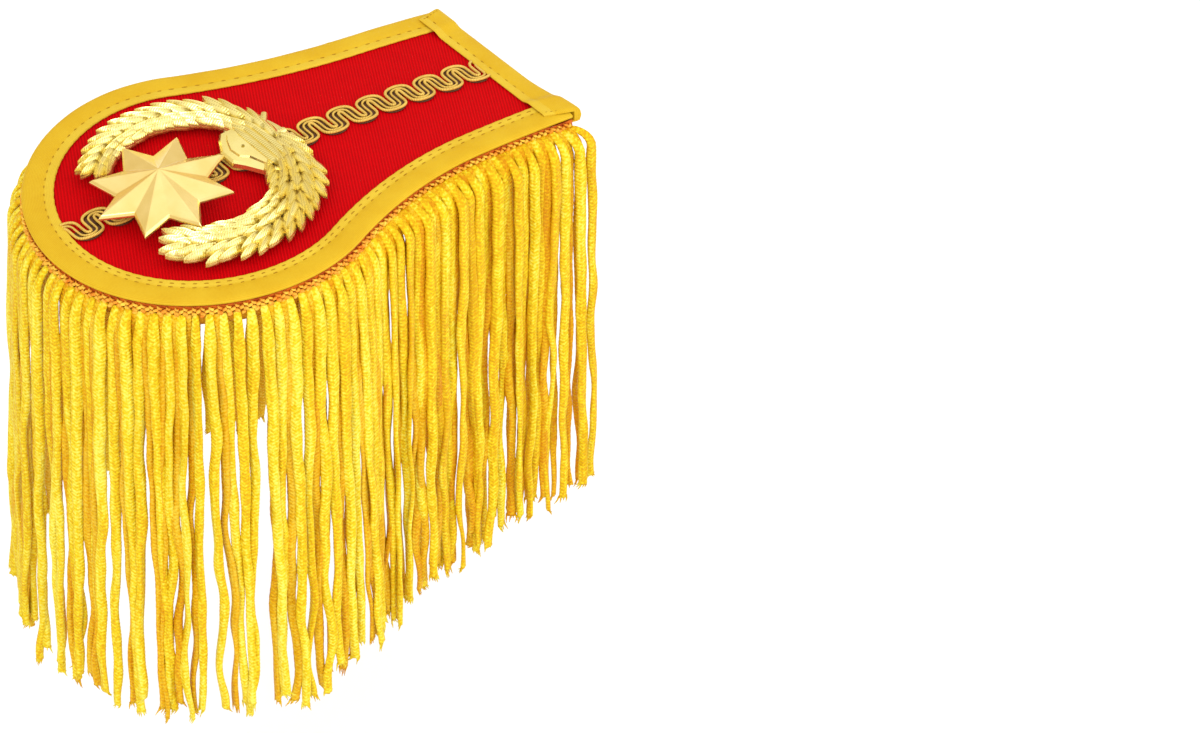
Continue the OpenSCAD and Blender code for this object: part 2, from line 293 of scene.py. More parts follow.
class Shape:
    """Collects the verts, faces and UVs of one piece."""

    def __init__(self):
        self.verts, self.faces, self.uvs = [], [], []

    def add(self, verts, faces, uvs=None):
        base = len(self.verts)
        self.verts.extend(verts)
        self.faces.extend([tuple(base + i for i in f) for f in faces])
        self.uvs.extend(uvs if uvs is not None else [(0.0, 0.0)] * len(verts))

    def sweep(self, rings, ring_uvs=None):
        """Skins a list of closed rings of equal length, and caps both ends."""
        n, k = len(rings), len(rings[0])
        faces = []
        for i in range(n - 1):
            for j in range(k):
                a, b = i * k + j, i * k + (j + 1) % k
                faces.append((a, b, b + k, a + k))
        faces.append(tuple(range(k - 1, -1, -1)))
        faces.append(tuple((n - 1) * k + j for j in range(k)))
        uvs = [uv for ring in ring_uvs for uv in ring] if ring_uvs else None
        self.add([p for ring in rings for p in ring], faces, uvs)

    def skin(self, rows):
        """Skins closed rings given as rows of (point, UV) pairs."""
        self.sweep([[p for p, _ in row] for row in rows], [[uv for _, uv in row] for row in rows])

    def tube(self, path, radius, sides=6, flat=1.0, up=Vector((0, 0, 1))):
        """Skins a round cord along a path; radius may be a number or one for each point."""
        rows, run = [], 0.0
        for i, p in enumerate(path):
            ahead = (path[min(i + 1, len(path) - 1)] - path[max(i - 1, 0)]).normalized()
            side = ahead.cross(up)
            side = side.normalized() if side.length > 1e-6 else Vector((1, 0, 0))
            lift = side.cross(ahead)
            r = radius[i] if isinstance(radius, (list, tuple)) else radius
            if i:
                run += (p - path[i - 1]).length
            row = []
            for j in range(sides):
                a = 2 * math.pi * j / sides
                row.append((p + r * math.cos(a) * side + r * flat * math.sin(a) * lift,
                            (j / sides, run / MM)))
            rows.append(row)
        self.skin(rows)

    def post(self, seat, x, y, heights, radius, sides=12):
        """Upright round post on the cloth, through the given heights."""
        self.tube([seat @ Vector((x, y, z)) for z in heights], radius, sides,
                  up=Vector((0, 1, 0)))

    def piece(self, name, material, slot, *nodes, crisp=None, smooth=True):
        """Makes the piece, crisp at edges past an angle in degrees, on the one body, and hides the
        solids it stands for; the slot is not used."""
        obj = add_mesh(name, self.verts, self.faces, material, self.uvs, smooth)
        if crisp is not None:
            obj.data.set_sharp_from_angle(angle=math.radians(crisp))
        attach(obj, "root")
        if nodes:
            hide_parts(*nodes)
        return obj


def smoothstep(x):
    """Runs from 0 to 1 with a soft start and end, and stays there."""
    x = min(max(x, 0.0), 1.0)
    return x * x * (3 - 2 * x)


def steps(low, high, count):
    """So many even places from low to high."""
    return [low + (high - low) * i / (count - 1) for i in range(count)]


# ---- Materials

class Nodes:
    """Short calls for building the nodes of a material or of the world."""

    def __init__(self, tree):
        self.tree = tree

    def new(self, kind, **inputs):
        node = self.tree.nodes.new(kind)
        for name, value in inputs.items():
            self.feed(node.inputs[name.replace("_", " ")], value)
        return node

    def feed(self, socket, value):
        if isinstance(value, bpy.types.NodeSocket):
            self.tree.links.new(value, socket)
        else:
            socket.default_value = value

    def math(self, operation, a, b=0.0):
        node = self.tree.nodes.new("ShaderNodeMath")
        node.operation = operation
        self.feed(node.inputs[0], a)
        self.feed(node.inputs[1], b)
        return node.outputs[0]

    def times(self, a, b):
        return self.math("MULTIPLY", a, b)

    def plus(self, a, b):
        return self.math("ADD", a, b)

    def blend(self, *parts):
        """Sum of (value, weight) pairs."""
        total = None
        for value, weight in parts:
            part = self.times(value, weight)
            total = part if total is None else self.plus(total, part)
        return total

    def axes(self, kind):
        """X, Y and Z of the UV or Object coordinates."""
        place = self.new("ShaderNodeTexCoord").outputs[kind]
        return self.new("ShaderNodeSeparateXYZ", Vector=place).outputs[:]

    def uv(self):
        return self.axes("UV")[:2]

    def noise(self, scale, detail, stretch=None):
        """Noise with so many features a metre, drawn out along an axis by a small stretch."""
        place = self.new("ShaderNodeTexCoord").outputs["Object"]
        if stretch is not None:
            place = self.new("ShaderNodeMapping", Vector=place, Scale=stretch).outputs["Vector"]
        node = self.new("ShaderNodeTexNoise", Vector=place, Scale=scale, Detail=detail)
        return node.outputs["Fac"]

    def waves(self, value, pitch):
        """Sine of a length, 0 to 1, with the given pitch."""
        wave = self.math("SINE", self.times(value, 2 * math.pi / pitch))
        return self.plus(self.times(wave, 0.5), 0.5)

    def span(self, value, low, high, at_low=0.0, at_high=1.0, kind="LINEAR"):
        """Runs from at_low at low to at_high at high, and stays there."""
        node = self.new("ShaderNodeMapRange", Value=value, From_Min=low, From_Max=high,
                        To_Min=at_low, To_Max=at_high)
        node.interpolation_type = kind
        return node.outputs["Result"]

    def ramp(self, factor, *stops):
        node = self.new("ShaderNodeValToRGB", Fac=factor)
        elements = node.color_ramp.elements
        while len(elements) < len(stops):
            elements.new(0.5)
        for element, (position, color) in zip(elements, stops):
            element.position = position
            element.color = (*color, 1)
        return node.outputs["Color"]

    def mix(self, factor, a, b):
        """Colour that runs from a to b as factor runs from 0 to 1."""
        node = self.tree.nodes.new("ShaderNodeMix")
        node.data_type = "RGBA"
        sockets = [socket for socket in node.inputs if socket.enabled]
        self.feed(sockets[0], factor)
        for socket, color in zip(sockets[1:], (a, b)):
            self.feed(socket, color if isinstance(color, bpy.types.NodeSocket) else (*color, 1))
        return next(socket for socket in node.outputs if socket.enabled)


class Surface(Nodes):
    """A material with a plain principled shader."""

    def __init__(self, name, color, roughness, metallic=0.0, specular=0.2):
        self.material = bpy.data.materials.new(name)
        self.material.use_nodes = True
        super().__init__(self.material.node_tree)
        self.inputs = self.tree.nodes["Principled BSDF"].inputs
        self.color((*color, 1))
        self.roughness(roughness)
        self.feed(self.inputs["Metallic"], metallic)
        self.feed(self.inputs["Specular IOR Level"], specular)

    def color(self, value):
        self.feed(self.inputs["Base Color"], value)

    def roughness(self, value):
        self.feed(self.inputs["Roughness"], value)

    def bump(self, height, distance, strength):
        node = self.new("ShaderNodeBump", Height=height, Distance=distance, Strength=strength)
        self.feed(self.inputs["Normal"], node.outputs["Normal"])


def tint(color, *factors):
    """The colour times a factor for red, green and blue, or one for all three."""
    return tuple(min(c * f, 1.0) for c, f in zip(color, factors * (3 // len(factors))))


def twill_cloth(color, pitch):
    """Bright worsted twill with raised slanting ribs."""
    m = Surface("red_twill", color, 0.75, specular=0.05)
    u, v = m.uv()
    rib = m.waves(u, pitch / MM)
    yarn = m.waves(v, 0.5)
    wobble = m.noise(260.0, 2.0)
    m.bump(m.blend((rib, 1.0), (yarn, 0.25), (wobble, 0.5)), 0.00012, 0.8)
    tone = m.blend((rib, 0.65), (wobble, 0.25), (yarn, 0.1))
    m.color(m.ramp(tone, (0.1, tint(color, 0.72)), (0.5, color), (0.9, tint(color, 1.25))))
    return m.material


def satin_tape(color, width):
    """Satin tape with fine ribs along it, and a painted highlight beside its inner fold."""
    m = Surface("satin_tape", color, 0.5, specular=0.09)
    across, along = m.uv()
    rib = m.waves(across, 0.42)
    grain = m.noise(1600.0, 2.0)
    m.bump(m.blend((rib, 1.0), (m.waves(along, 0.36), 0.3), (grain, 0.9)), 0.00004, 0.7)
    tone = m.blend((m.noise(90.0, 4.0), 0.55), (rib, 0.25), (grain, 0.2))
    deep = m.ramp(tone, (0.25, tint(color, 0.90, 0.80, 0.6)),
                  (0.75, tint(color, 1.06, 1.12, 2.0)))
    fold_highlight = m.ramp(tone, (0.25, tint(color, 0.95, 0.92, 1.8)),
                  (0.75, tint(color, 1.12, 1.3, 4.0)))
    # Painted highlight: the strip beside the inner fold is paler
    inner = m.span(across, width / MM - 2.9, width / MM - 2.3)
    # The lower wall is marked by TUCKED_UV, and lies in the dark: it gets painted shade
    painted_wall_shade = m.span(across, -0.4, -1.6)
    m.color(m.mix(painted_wall_shade, m.mix(inner, deep, fold_highlight), tint(color, 0.45, 0.14, 0.3)))
    return m.material


def knitted_cord(name, color, sizes):
    """Flat knitted cord, with rows of small stitches that meet in a V along its middle."""
    m = Surface(name, color, 0.55, specular=0.12)
    across, along = m.uv()
    aside = m.math("ABSOLUTE", across)
    rows = m.waves(m.plus(along, m.times(aside, 0.7)), sizes.stitch / MM)
    plies = m.waves(across, 1.15)
    fuzz = m.noise(1050.0, 2.0)
    m.bump(m.blend((rows, 0.55), (plies, 0.2), (m.span(aside, 0.0, 0.22), 0.2), (fuzz, 1.0)),
           0.00032, 0.9)
    # Each cord has its own tone, drawn out along its length
    strand = m.span(m.noise(260.0, 2.0, (1.0, 1.0, 0.05)), 0.34, 0.66)
    cloud = m.span(m.noise(75.0, 3.0), 0.3, 0.7)
    # Painted shade: the cords beside the neck are darker
    beside_neck = m.span(m.axes("Object")[0], 0.0, 0.05)
    tone = m.blend((m.span(rows, 0.1, 0.8), 0.16), (plies, 0.08),
                   (m.span(fuzz, 0.40, 0.60), 0.30), (strand, 0.36), (cloud, 0.10),
                   (beside_neck, -0.12))
    dark = tint(color, 0.86, 0.62, 0.3)
    crown = m.ramp(tone, (0.18, dark), (0.50, color), (0.88, tint(color, 1.1, 1.36, 14.0)))
    # Painted shade: the cord's flanks are darker than its crown
    half_width = sizes.cord_width / 2
    flank_shade = m.span(aside, half_width / MM * 0.5, half_width / MM * 1.05)
    m.color(m.mix(m.times(flank_shade, 0.5), crown, dark))
    return m.material


def knitted_heading(name, dark, light):
    """Rough knit, paler low down on the band, between the heads of the cords."""
    m = Surface(name, light, 0.6)
    m.bump(m.noise(1800.0, 3.0), 0.0002, 0.8)
    knit = m.ramp(m.noise(420.0, 4.0), (0.3, dark), (0.7, light))
    m.color(m.mix(m.span(m.uv()[0], 4.0, 5.5), knit, tint(light, 1.0, 1.9, 1.0)))
    return m.material


def gimp_cord(name, color):
    """Wound metal thread: painted highlight on the crowns, painted shade in the hollows."""
    m = Surface(name, color, 0.42, metallic=0.1, specular=0.4)
    wind = m.waves(m.uv()[1], 0.42)
    m.bump(wind, 0.00006, 0.8)
    tone = m.blend((wind, 0.5), (m.noise(300.0, 3.0), 0.5))
    m.color(m.ramp(tone, (0.25, tint(color, 0.6)), (0.8, tint(color, 1.2, 1.4, 2.0))))
    return m.material


def cast_metal(name, color, roughness, pits):
    """Polished cast metal, with painted shade at a leaf's edges, its root and beside its midrib.
    """
    m = Surface(name, color, roughness, metallic=0.88, specular=0.5)
    across, along = m.uv()
    aside = m.math("ABSOLUTE", across)
    vein = m.waves(m.plus(along, m.times(aside, -0.9)), 0.75)
    carved = m.times(vein, m.span(aside, 0.02, 0.3))
    m.bump(m.blend((m.noise(220.0, 3.0), pits), (carved, 0.35)), 0.0003, 0.35)
    bright = m.ramp(m.noise(130.0, 3.0), (0.3, tint(color, 0.95, 0.92, 0.8)),
                    (0.7, tint(color, 1.04, 1.06, 1.15)))
    # Painted shade in the hollows of the leaves
    rim = m.span(aside, 1.25, 1.85)
    root = m.times(m.span(aside, 0.02, 0.2),
                   m.span(m.plus(along, m.times(m.noise(900.0, 2.0), 3.0)), 3.8, 2.2))
    line = m.times(m.span(aside, 0.12, 0.3), m.span(aside, 0.62, 0.36))
    hollow = m.math("MAXIMUM", root, m.times(line, m.times(vein, 0.6)))
    hollow = m.math("MAXIMUM", m.times(rim, 0.7), hollow)
    m.color(m.mix(hollow, bright, tint(color, 0.40, 0.32, 0.12)))
    m.roughness(m.plus(m.times(m.noise(600.0, 2.0), roughness * 0.7), roughness * 0.65))
    return m.material


def rough_surface(name, color, roughness, grain, depth, strength, **shader):
    """One colour, roughened by noise with grain features a metre."""
    m = Surface(name, color, roughness, **shader)
    m.bump(m.noise(grain, 2.0), depth, strength)
    return m.material


# ---- Board cloth

RIB_TURN = math.radians(60)
CLOTH_COLUMNS, CLOTH_ROWS = 120, 48
CLOTH_SWELL = 0.08 * MM
UNDER_INSET = 1.4 * MM


class EPAULETTE_OT_cloth(bpy.types.Operator):
    """Add the cloth-covered board"""
    bl_idname = "epaulette.cloth"
    bl_label = "Board cloth"

    def execute(self, context):
        sizes = context.scene.epaulette_board
        board = board_shape()
        top = self.layer(board, board.thickness - CLOTH_SWELL, CLOTH_SWELL, 0)
        under = self.layer(board, 0, 0, UNDER_INSET)
        shape = Shape()
        shape.skin([t + u[::-1] for t, u in zip(top, under)])
        shape.piece("board_cloth", twill_cloth(sizes.cloth_color, sizes.rib_pitch), "red_cloth",
                    "cloth_board", crisp=30)
        return {"FINISHED"}

    def layer(self, board, height, bulge, draw):
        """Rows of (point, UV) of one face, drawn in at its edges and swollen in the middle."""
        tape = bpy.context.scene.epaulette_tape
        inset = tape.thickness + tape.gap
        low = -(board.r - inset) + 0.02 * MM
        high = board.end - 2 * inset
        rows = []
        for share in steps(0, 1, CLOTH_COLUMNS):
            # Closer rows where the round end turns sharply
            x = low + draw + (high - low - 2 * draw) * (share ** 1.5 if share < 0.2 else share)
            half = board.half_width(x, inset + draw)
            row = []
            for across in steps(-1, 1, CLOTH_ROWS):
                y = half * across
                uv = ((x * math.sin(RIB_TURN) - y * math.cos(RIB_TURN)) / MM,
                      (x * math.cos(RIB_TURN) + y * math.sin(RIB_TURN)) / MM)
                row.append((board.point(x, y, height + bulge * (1 - across ** 4)), uv))
            rows.append(row)
        return rows


# ---- Binding

# Points of the side tape's section: fold, sunk seam, smooth top and lower wall
FOLD, SEAM, FIELD, LOWER_WALL = range(0, 4), range(5, 8), range(8, 13), range(15, 19)
TUCKED_UV = -3.0
SIDE_STEPS, END_STEPS = 900, 110
STITCH_SEED = 3
STITCH_RADIUS = 0.13 * MM
# A stitch as shares of its length and of its lift
LONG_STITCH = ((0, -0.6), (0.2, 0.4), (0.5, 0.8), (0.8, 0.4), (1, -0.6))
SHORT_STITCH = ((0, -0.6), (0.3, 0.6), (0.7, 0.6), (1, -0.6))
TACK = ((0, -0.8), (0.3, 0.4), (0.7, 0.4), (1, -0.8))
# Slant, and the distance of the seam from the inner fold, of the end tape
TUCK_SLANT = 2.6 * MM
END_SEAM = 2.7 * MM
TACKS = 5
# Where the end tape starts to climb over the side tape, and the length of the climb
CLIMB_START, CLIMB_LENGTH = 2.4 * MM, 3.6 * MM


def tape_section(board, tape):
    """Folded tape's section: inset from the edge and height, from the inner fold round."""
    w, t, lap, gap = tape.width, tape.thickness, tape.underlap, tape.gap
    top, low, thick = board.thickness + gap, -gap, board.thickness
    seam = w - tape.stitch_inset
    return [
        (w, top + 0.1 * t), (w + 0.04 * MM, top + 0.5 * t), (w - 0.12 * MM, top + 0.86 * t),
        (w - 0.5 * MM, top + 0.98 * t), (w - 1.2 * MM, top + 0.86 * t),
        (seam + 0.6 * MM, top + 0.84 * t), (seam, top + 0.62 * t),
        (seam - 0.5 * MM, top + 0.82 * t), (seam - 1.5 * MM, top + 0.98 * t),
        (0.45 * w, top + 1.02 * t), (0.25 * w, top + 1.0 * t), (0.12 * w, top + 0.86 * t),
        (0.04 * w, top + 0.5 * t), (0.0, top - 0.1 * t), (0.12 * MM, 0.72 * thick),
        (0.5 * MM, 0.48 * thick), (0.9 * MM, 0.22 * thick), (1.25 * MM, low - 0.2 * t),
        (1.9 * MM, low - 0.8 * t), (3.0 * MM, low - t), (lap - 0.3 * MM, low - t),
        (lap, low - 0.5 * t), (lap, low), (t + gap + 1.2 * MM, low), (t + gap, 0.72 * thick),
        (t + gap, top)]


class EPAULETTE_OT_side_tape(bpy.types.Operator):
    """Add the folded tape round the sides and the round end, with its stitches"""
    bl_idname = "epaulette.side_tape"
    bl_label = "Side tape"

    def execute(self, context):
        tape = context.scene.epaulette_tape
        board = board_shape()
        section = tape_section(board, tape)
        start = tape.thickness + tape.gap
        end = 2 * board.half - start
        rows = []
        for s in steps(start, end, SIDE_STEPS):
            stitch = math.cos(2 * math.pi * s / tape.stitch_pitch)
            ripple = 0.04 * MM * math.sin(s / (3.1 * MM)) * math.sin(s / (7.7 * MM))
            row = []
            for k, (inset, height) in enumerate(section):
                if k in SEAM:
                    height -= 0.06 * MM * stitch
                if k in FOLD:
                    inset += 0.05 * MM * stitch
                if k in FIELD:
                    height += ripple
                # The lower wall's UV marks it for painted shade
                row.append((board.on_edge(s, inset, height),
                            (TUCKED_UV if k in LOWER_WALL else inset / MM, s / MM)))
            rows.append(row)
        shape = Shape()
        shape.skin(rows)
        shape.piece("side_tape", satin_tape(tape.color, tape.width), "gold_tape",
                    "side_binding", crisp=50)

        thread = Shape()
        top = board.thickness + tape.gap
        rng = random.Random(STITCH_SEED)
        # Inset, first and last place, and level in the tape of each row of stitches
        for inset, low, high, level in (
                (tape.width - tape.stitch_inset, start, end, 0.60),
                (tape.width - tape.second_row, start, 1.05 * board.half, 0.88)):
            s = low + 0.5 * tape.stitch_pitch
            while s < high - tape.stitch_pitch:
                long = tape.stitch_pitch * rng.uniform(0.28, 0.42)
                shift = rng.uniform(-0.08, 0.08) * MM
                path = [board.on_edge(s + share * long, inset + shift,
                                      top + tape.thickness * level + 0.10 * MM * rise)
                        for share, rise in LONG_STITCH]
                thread.tube(path, STITCH_RADIUS)
                s += tape.stitch_pitch
        # The thread is darker than the tape: painted shade of the holes that the stitches sink
        # into
        thread.piece("tape_stitches", rough_surface(
            "shaded_stitch_thread", tint(tape.color, 0.58, 0.46, 0.4), 0.6, 3000.0, 0.00005, 0.6),
            "gold_tape")
        return {"FINISHED"}


class EPAULETTE_OT_end_tape(bpy.types.Operator):
    """Add the folded tape across the square end, with its slanted tucks"""
    bl_idname = "epaulette.end_tape"
    bl_label = "End tape"

    def execute(self, context):
        tape = context.scene.epaulette_tape
        board = board_shape()
        t, gap, w = tape.thickness, tape.gap, tape.width
        lap, thick = tape.underlap, board.thickness
        top = thick + gap
        half = board.half_end - 0.1 * MM

        def climb(y):
            """The tape lies on the cloth in the middle and climbs over the side tape."""
            start = board.half_end - w - CLIMB_START
            return (t + gap) * smoothstep((abs(y) - start) / CLIMB_LENGTH)

        rows = []
        for y in steps(-half, half, END_STEPS):
            stitch = math.cos(2 * math.pi * y / tape.stitch_pitch)
            up, down = top + climb(y), -gap - climb(y)
            section = [
                (w, up + 0.1 * t), (w + 0.05 * MM, up + 0.5 * t), (w - 0.2 * MM, up + 0.88 * t),
                (w - 0.7 * MM, up + 0.98 * t), (w - 2.1 * MM, up + 0.86 * t),
                (w - END_SEAM, up + 0.64 * t - 0.05 * MM * stitch), (w - 3.3 * MM, up + 0.86 * t),
                (0.45 * w, up + t), (0.22 * w, up + 0.98 * t), (0.1 * w, up + 0.8 * t),
                (0.03 * w, up + 0.4 * t), (0.0, thick * 0.7), (0.05 * MM, thick * 0.2),
                (0.04 * w, down - 0.3 * t), (0.12 * w, down - 0.8 * t), (0.28 * w, down - t),
                (lap, down - t), (lap, down), (2 * (t + gap), down), (2 * (t + gap), up)]
            middle = thick / 2
            squeeze = 0.88 + 0.12 * smoothstep((half - abs(y)) / (0.8 * MM))
            flare = tape.corner_flare * smoothstep((-y / half - 0.3) / 0.7)
            row = []
            for inset, height in section:
                level = board.level(board.end - inset, middle + (height - middle) * squeeze)
                # Slanted ends: the tuck runs in towards the inner fold
                across = y * (1 - TUCK_SLANT / half * min(inset / w, 1.0))
                along = board.end - inset + flare * max(0.0, 1 - inset / w)
                row.append((Vector((along, across, level)), (inset / MM, y / MM)))
            rows.append(row)
        shape = Shape()
        shape.skin(rows[::-1])
        shape.piece("end_tape", bpy.data.materials["satin_tape"], "gold_tape", "end_binding",
                    crisp=50)

        thread = Shape()
        x = board.end - (w - END_SEAM)
        y = -half + 4 * MM
        while y < half - 4 * MM:
            level = top + 0.66 * t + climb(y)
            path = [board.point(x, y + share * 1.2 * MM, level + rise * 0.1 * MM)
                    for share, rise in SHORT_STITCH]
            thread.tube(path, 0.14 * MM)
            y += tape.stitch_pitch
        # Tacks that hold each tuck down
        for side in (1, -1):
            for k in range(TACKS):
                back = (1.6 + 1.45 * k) * MM
                spot = side * (half * (1 - TUCK_SLANT / half * back / w) - 1.3 * MM)
                level = top + 2 * t + gap
                path = [Vector((board.end - back - share * 0.7 * MM, spot,
                                board.level(board.end - back, level + rise * 0.09 * MM)))
                        for share, rise in TACK]
                thread.tube(path, STITCH_RADIUS)
        # The same darker thread: painted shade of the stitch holes
        thread.piece("end_stitches", bpy.data.materials["shaded_stitch_thread"], "gold_tape")
        return {"FINISHED"}


# ---- Fringe

HEADING_STEPS = 700
# Drop below the heading's top, and thickness, of each row of knots in mm
KNOT_ROWS = ((-0.85, 0.38), (-0.15, 0.50), (0.65, 0.58), (1.50, 0.60))
# A knot as shares of its lean, and mm outwards and upwards
KNOT = ((-1, 0.25, 0.3), (-0.4, -0.40, 0.15), (0.4, -0.40, -0.15), (1, 0.25, -0.3))
# The way the cords lean, across the view, and the direction that their faces turn to
LEAN_WAY = np.array([-0.768, 0.640, 0.0])
FACE_TURN = math.radians(50)
# Where the round end gives way to the neck, and where the square end's corner starts
NECK_START, NECK_RAMP = 15 * MM, 30 * MM
CORNER = 11 * MM
# Ring spacing and sides of the cords in front, and of those in the row behind
FRONT_GRAIN, BEHIND_GRAIN = (0.7 * MM, 8), (1.3 * MM, 6)
BEHIND_LAYER = -1.9 * MM
WISPS = 6


class EPAULETTE_OT_heading(bpy.types.Operator):
    """Add the knitted heading under the edge, with its rows of knots"""
    bl_idname = "epaulette.heading"
    bl_label = "Fringe heading"

    def execute(self, context):
        tape, fringe = context.scene.epaulette_tape, context.scene.epaulette_fringe
        board = board_shape()
        outer, inner = fringe.heading_inset, fringe.heading_inset + fringe.heading_thickness
        top = -tape.gap - tape.thickness - tape.gap
        low = top - fringe.heading_height
        start, end = 0.4 * MM, 2 * board.half - 0.4 * MM
        light = tuple(fringe.heading_color)
        rows = []
        for s in steps(start, end, HEADING_STEPS):
            cap = top - self.under_end(board, tape, s)
            ripple = 0.15 * MM * math.sin(4 * math.pi * s / fringe.pitch)
            section = [(inner, cap), (outer + 1.0 * MM, cap + 0.3 * MM),
                       (outer + 0.45 * MM, cap + 1.5 * MM), (outer + 0.3 * MM, cap + 1.2 * MM)]
            for k, share in enumerate((0.0, 0.3, 0.55, 0.8)):
                section.append((outer + 0.35 * MM + ripple * (-1) ** k, cap + share * (low - cap)))
            section += [(outer + 0.4 * MM, low), (inner, low)]
            rows.append([(board.on_edge(s, inset, height), (k, s / MM))
                         for k, (inset, height) in enumerate(section)])
        band = Shape()
        band.skin(rows)
        # The band's dark red-brown is painted shadow under the tape
        band.piece("heading_band", knitted_heading(
            "heading_shade", tint(light, 0.45, 0.16, 0.3), tint(light, 0.9, 0.65, 0.5)),
            "gold_heading", "fringe_heading")

        knots = Shape()
        rng = random.Random(fringe.seed + 1)
        for row, (drop, size) in enumerate(KNOT_ROWS):
            odd, lowest = row % 2, row == len(KNOT_ROWS) - 1
            count = round(2 * board.half / fringe.pitch * (1 if lowest else 1.6))
            for i in range(count):
                s = (i + (0.0 if odd else 0.5)) * 2 * board.half / count
                if not start + MM < s < end - MM:
                    continue
                cap = top - self.under_end(board, tape, s)
                high = cap - (drop + rng.uniform(-0.12, 0.12)) * MM
                lean = 0.7 * MM * (1 if odd else -1) * rng.uniform(0.7, 1.2)
                fat = size * rng.uniform(0.85, 1.15) * MM
                path = [board.on_edge(s + share * lean, outer + out * MM, high + rise * MM)
                        for share, out, rise in KNOT]
                knots.tube(path, [0.5 * fat, fat, fat, 0.5 * fat], 7)
        knots.piece("heading_knots", knitted_heading(
            "heading_knit", tint(light, 0.92, 0.70, 0.5), tint(light, 1.2, 2.6, 7.0)),
            "gold_heading")
        return {"FINISHED"}

    def under_end(self, board, tape, s):
        """How much lower the heading starts where the end tape lies over it."""
        under = board.end - tape.width - 0.3 * MM < board.edge(s)[0]
        return 0.4 * (tape.thickness + tape.gap) if under else 0.0


def beside_neck(x):
    """Runs from 0 at the round end to 1 beside the neck."""
    return smoothstep((x - NECK_START) / NECK_RAMP)


def unit(vectors):
    """The rows of an array, each brought to length 1."""
    return vectors / np.linalg.norm(vectors, axis=1)[:, None]


def cord_rings(board, fringe, s, length, rng, top, shift_at, layer, grain):
    """Rings of one hanging cord: out from under the tape in a bend, then down with a wander."""
    x, y, angle = board.edge(s)
    corner = smoothstep((x - (board.end - CORNER)) / CORNER)
    neck = beside_neck(x)
    fan = 0.75 * corner * (-1 if y < 0 else 1)
    out = np.array([math.cos(angle - fan), math.sin(angle - fan), 0.0])
    flat = np.array([math.cos(angle), math.sin(angle), 0.0])
    side = np.array([-math.sin(angle), math.cos(angle), 0.0])
    # Path: a quarter bend outwards, then straight down
    across_view = abs(flat[0] * LEAN_WAY[0] + flat[1] * LEAN_WAY[1])
    reach = fringe.belly + 3.1 * MM * across_view + 0.8 * MM * neck
    reach = reach * rng.uniform(0.86, 1.12) + layer
    drop = (8.5 - 2.0 * neck) * MM * rng.uniform(0.85, 1.15)
    bend = np.radians(np.linspace(26 * (1 - neck), 90, 12))
    bent = drop * (math.cos(bend[0]) - np.cos(bend))
    hang = np.arange(1, int((length - bent[-1]) / grain)) * grain
    offset = reach * (np.sin(bend) - math.sin(bend[0]))
    offset = np.concatenate([offset, np.full(len(hang), offset[-1])])
    fall = np.concatenate([bent, bent[-1] + hang])
    share = fall / length
    run = np.concatenate([[0.0], np.cumsum(np.hypot(np.diff(offset), np.diff(fall)))])
    phase = [rng.uniform(0, 2 * math.pi) for _ in range(8)]

    def wave(length_mm, k):
        return np.sin(run / (length_mm * MM) + phase[k])

    wander = rng.uniform(0.4, 1.25)
    sideways = (wave(3.1, 0) * 0.14 + wave(5.4, 1) * 0.42 + wave(10, 2) * 0.75) * MM * wander
    outwards = (wave(4.6, 3) * 0.22 + wave(9, 4) * 0.5) * MM * wander
    spread = fringe.splay - 1.6 * MM * neck + rng.gauss(0, 0.7) * MM
    offset = (offset - fringe.heading_inset + 0.1 * MM + share * spread
              + share ** 0.6 * outwards)
    shift = share ** 1.2 * shift_at + share ** 0.55 * sideways
    base = np.array([x, y, board.level(x, 0) + top])
    past = np.array([3.4 * MM * corner, 0.0, 0.0])
    centres = (base + np.outer(offset, out) + np.outer(shift, side)
               + np.outer(fall, np.array([0.0, 0.0, -1.0]))
               + np.outer(fall * math.tan(fringe.lean), LEAN_WAY) + np.outer(share, past))
    tangents = unit(np.gradient(centres, axis=0))
    # The cords turn part of the way to one face, and each twists a little on its own
    facing = (-(angle + FACE_TURN) + math.pi / 2) % math.pi - math.pi / 2
    turn = (np.minimum(1, fall / (12 * MM)) * 0.42 * facing * (1 if y < 0.02 else 0.3)
            + share ** 0.7 * rng.gauss(0, 0.5) + share ** 0.7 * wave(9, 5) * 0.40
            + share ** 0.3 * 0.10 * wave(4, 6))
    across = side[None] * np.cos(turn)[:, None] + flat[None] * np.sin(turn)[:, None]
    across = unit(across - tangents * np.sum(across * tangents, axis=1)[:, None])
    face = np.cross(across, tangents)
    # Width and thickness: drawn in at the head, slimmer towards the end, uneven knit
    full = 0.54 + 0.46 * np.minimum(1, run / (10.0 * MM)) ** 0.8
    knit = 1 + 0.025 * np.where(np.arange(len(fall)) % 2 == 0, 1, -1)
    narrow = 1 - 0.30 * share ** 0.9 + 0.055 * wave(2.6, 7)
    half_w = fringe.cord_width / 2 * rng.uniform(0.84, 1.08) * full * narrow * knit
    half_t = fringe.cord_thickness / 2 * rng.uniform(0.88, 1.12) * (0.8 + 0.2 * full)
    return centres, across, face, half_w, half_t, run, tangents


